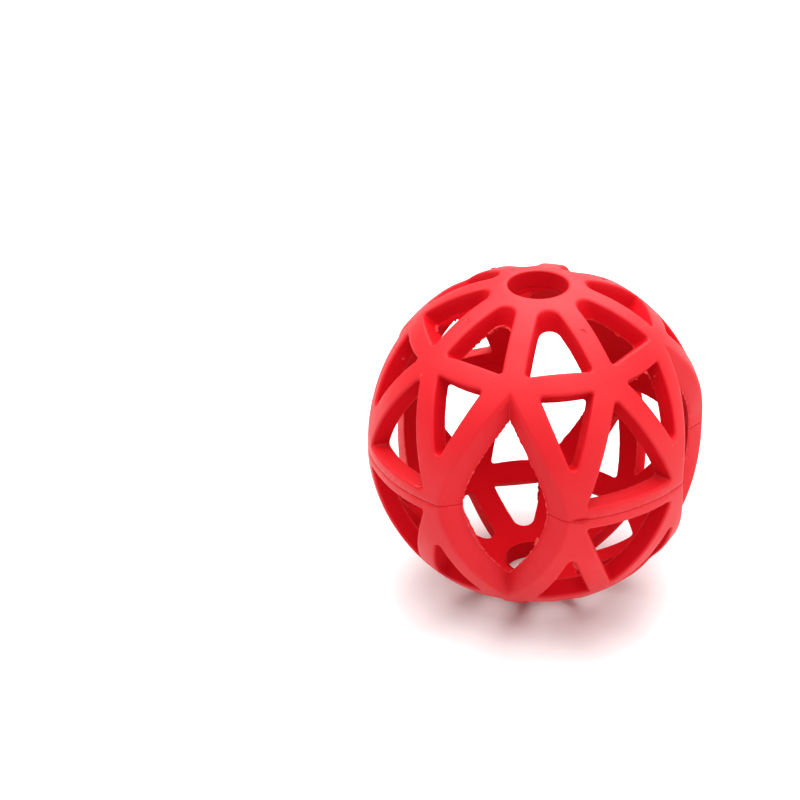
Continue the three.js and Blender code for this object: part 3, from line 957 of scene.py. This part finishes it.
def ventPlaces():
    where, facing, size = [], [], []
    for half in (1, -1):
        for k in range(shell["lenses"]):
            spoke = direction(ventMark["spokePolar"], eighth + 90 * k) * (1, 1, half)
            where.append(spoke * (outerR + ventMark["raised"]))
            facing.append(spoke)
            size.append(1.0)
    slope = math.tan(math.radians(shell["equatorDraft"]))
    for azimuth, radius, half in ventMark["footSpots"]:
        height = shell["equator"] / 2 + slope * (outerR - radius)
        level = direction(90, azimuth) * math.sqrt(radius ** 2 - height ** 2)
        where.append(level + upward * height * half)
        facing.append(unit(direction(90, azimuth) * slope + upward * half))
        size.append(ventMark["footSize"])
    return pointMesh("ventPlaces", where, [], [], {"size": size}, {"facing": facing})


ventInputs = {**inputsOf(ventMark, ("Ring", "Ridge", "Pip"), mm), "Sweep": math.radians(ventMark["sweep"]),
              "Seed": ventMark["seed"], "Material": flashRubber}
vents = grow("ventMarks", ventPlaces(), ventTree(), ventInputs)
tidyMesh(vents)
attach(vents, "root")
print("vent marks ready")


# pale floor under the lower rim
floorLook = {
    "size": 6.0, "colour": (0.80, 0.80, 0.80, 1.0), "fibre": (900.0, 4.0), "rough": (0.85, 0.95), "specular": 0.1,
}


def makeFloor():
    mesh = bpy.data.meshes.new("floor")
    half, level = floorLook["size"] / 2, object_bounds()[0].z
    corners = [(x * half, y * half, level) for x, y in ((-1, -1), (1, -1), (1, 1), (-1, 1))]
    mesh.from_pydata(corners, [], [(0, 1, 2, 3)])
    material = bpy.data.materials.new("palePaper")
    material.use_nodes = True
    tree = material.node_tree
    shader = tree.nodes["Principled BSDF"].inputs
    place = addNode(tree, "ShaderNodeTexCoord").outputs["Object"]
    fibre = noiseNode(tree, place, *floorLook["fibre"])
    tree.links.new(mapRange(tree, fibre, 0.0, 1.0, *floorLook["rough"]), shader["Roughness"])
    shader["Base Color"].default_value = floorLook["colour"]
    shader["Specular IOR Level"].default_value = floorLook["specular"]
    mesh.materials.append(material)
    floor = bpy.data.objects.new("floor", mesh)
    scene.collection.objects.link(floor)


makeFloor()

# a white room with broad panels overhead, behind and at both sides
lightPlan = [      # name, place, size and watts
    ("overhead", (-0.05, 0.05, 1.00), 1.8, 30.0), ("behind", (0.10, 0.95, 0.75), 1.0, 9.4),
    ("right", (0.95, -0.25, 0.28), 0.8, 3.2), ("left", (-0.80, 0.10, 0.78), 0.8, 1.8),
]
roomLook = {"colour": (1.0, 1.0, 1.0, 1.0), "strength": 0.37}


def makeLights():
    world = bpy.data.worlds.new("whiteRoom")
    scene.world = world
    world.use_nodes = True
    room = world.node_tree.nodes["Background"].inputs
    room["Color"].default_value = roomLook["colour"]
    room["Strength"].default_value = roomLook["strength"]
    for name, place, size, watts in lightPlan:
        lamp = bpy.data.lights.new(name, "AREA")
        lamp.shape, lamp.size, lamp.energy = "DISK", size, watts
        panel = bpy.data.objects.new(name, lamp)
        panel.location = place
        panel.rotation_euler = (-Vector(place)).to_track_quat("-Z", "Y").to_euler()
        scene.collection.objects.link(panel)


makeLights()

# the photograph's viewpoint: a long lens, a little above the ball
viewPlan = {
    "at": (0.1203, -0.6007, 0.3567), "turn": (1.0559, 0.01445, 0.2481), "lens": 120.32, "sensor": 36.0,
    "nearest": 0.01, "farthest": 50.0,
}


def makeCamera():
    camera = bpy.data.objects.new("camera", bpy.data.cameras.new("camera"))
    camera.data.sensor_width, camera.data.lens = viewPlan["sensor"], viewPlan["lens"]
    camera.data.clip_start, camera.data.clip_end = viewPlan["nearest"], viewPlan["farthest"]
    camera.location, camera.rotation_euler = viewPlan["at"], viewPlan["turn"]
    scene.collection.objects.link(camera)
    scene.camera = camera


makeCamera()
print("floor, light and camera ready")
